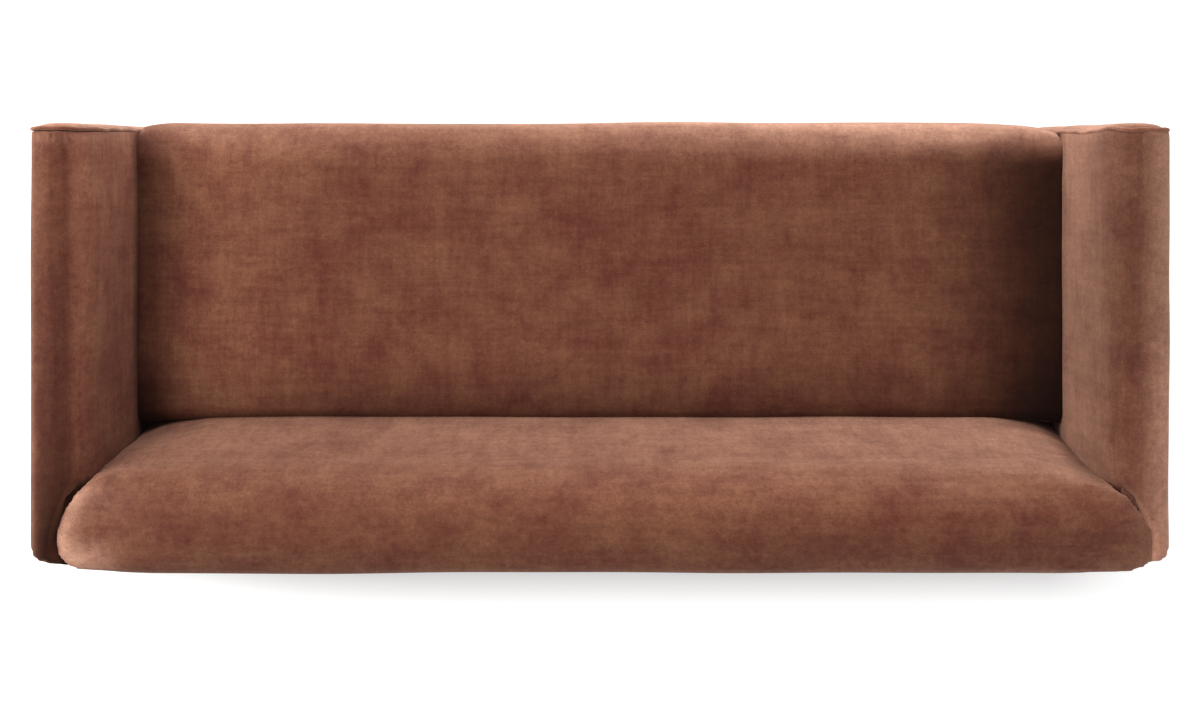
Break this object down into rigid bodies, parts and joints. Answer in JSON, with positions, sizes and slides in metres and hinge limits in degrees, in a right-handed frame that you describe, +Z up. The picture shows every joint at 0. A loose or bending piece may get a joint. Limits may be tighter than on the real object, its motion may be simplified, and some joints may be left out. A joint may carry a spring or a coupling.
{
  "type": "tuxedo sofa",
  "caption": "Tuxedo sofa with a level back and arms, a tight padded back, welted arm fronts and one loose bench cushion on a sprung hardwood frame.",
  "frame": {"origin": "on the floor under the middle of the sofa: the centre of the footprint of its bounding box", "axes": "+X to the sitter's left along the sofa's length, -Y to the front, +Z up from the floor"},
  "size_m": [2.17, 0.864, 0.76],
  "materials": {
    "velvet": "rust-brown cotton velvet with a brushed, mottled pile",
    "deck_cloth": "dark plain decking cloth over felt padding",
    "dust_cloth": "black non-woven cloth",
    "webbing": "natural jute webbing",
    "beech": "planed, unfinished beech and plywood",
    "walnut": "dark walnut stain, satin lacquer",
    "spring_steel": "drawn spring wire with folded clips",
    "nylon": "moulded nylon glide"
  },
  "bodies": {
    "sofa": {"inside_back_pad": "velvet", "left_arm_pad": "velvet", "right_arm_pad": "velvet", "left_arm_front_panel": "velvet", "right_arm_front_panel": "velvet", "left_arm_front_welt": "velvet", "right_arm_front_welt": "velvet", "left_outside_arm_panel": "velvet", "right_outside_arm_panel": "velvet", "outside_back_panel": "velvet", "front_border": "velvet", "seat_deck": "deck_cloth", "dust_cover": "dust_cloth", "seat_spring_1": "spring_steel", "seat_spring_2": "spring_steel", "seat_spring_3": "spring_steel", "seat_spring_4": "spring_steel", "seat_spring_5": "spring_steel", "seat_spring_6": "spring_steel", "seat_spring_7": "spring_steel", "seat_spring_8": "spring_steel", "back_webbing": "webbing", "front_seat_rail": "beech", "rear_seat_rail": "beech", "rear_base_rail": "beech", "centre_cross_rail": "beech", "left_side_seat_rail": "beech", "right_side_seat_rail": "beech", "left_front_corner_block": "beech", "right_front_corner_block": "beech", "left_rear_corner_block": "beech", "right_rear_corner_block": "beech", "left_front_post": "beech", "right_front_post": "beech", "left_rear_post": "beech", "right_rear_post": "beech", "left_arm_top_rail": "beech", "right_arm_top_rail": "beech", "left_arm_liner": "beech", "right_arm_liner": "beech", "left_arm_tack_rail": "beech", "right_arm_tack_rail": "beech", "back_top_rail": "beech", "back_tack_rail": "beech", "left_back_rib": "beech", "centre_back_rib": "beech", "right_back_rib": "beech", "left_front_leg": "walnut", "right_front_leg": "walnut", "left_rear_leg": "walnut", "right_rear_leg": "walnut", "centre_leg": "walnut", "left_front_glide": "nylon", "right_front_glide": "nylon", "left_rear_glide": "nylon", "right_rear_glide": "nylon", "centre_glide": "nylon"},
    "cushion": {"seat_cushion": "velvet"}
  },
  "joints": [
    {"name": "cushion_lift", "type": "slide", "parent": "sofa", "child": "cushion", "axis": [0, 0, 1], "range_m": [0, 0.48]}
  ]
}
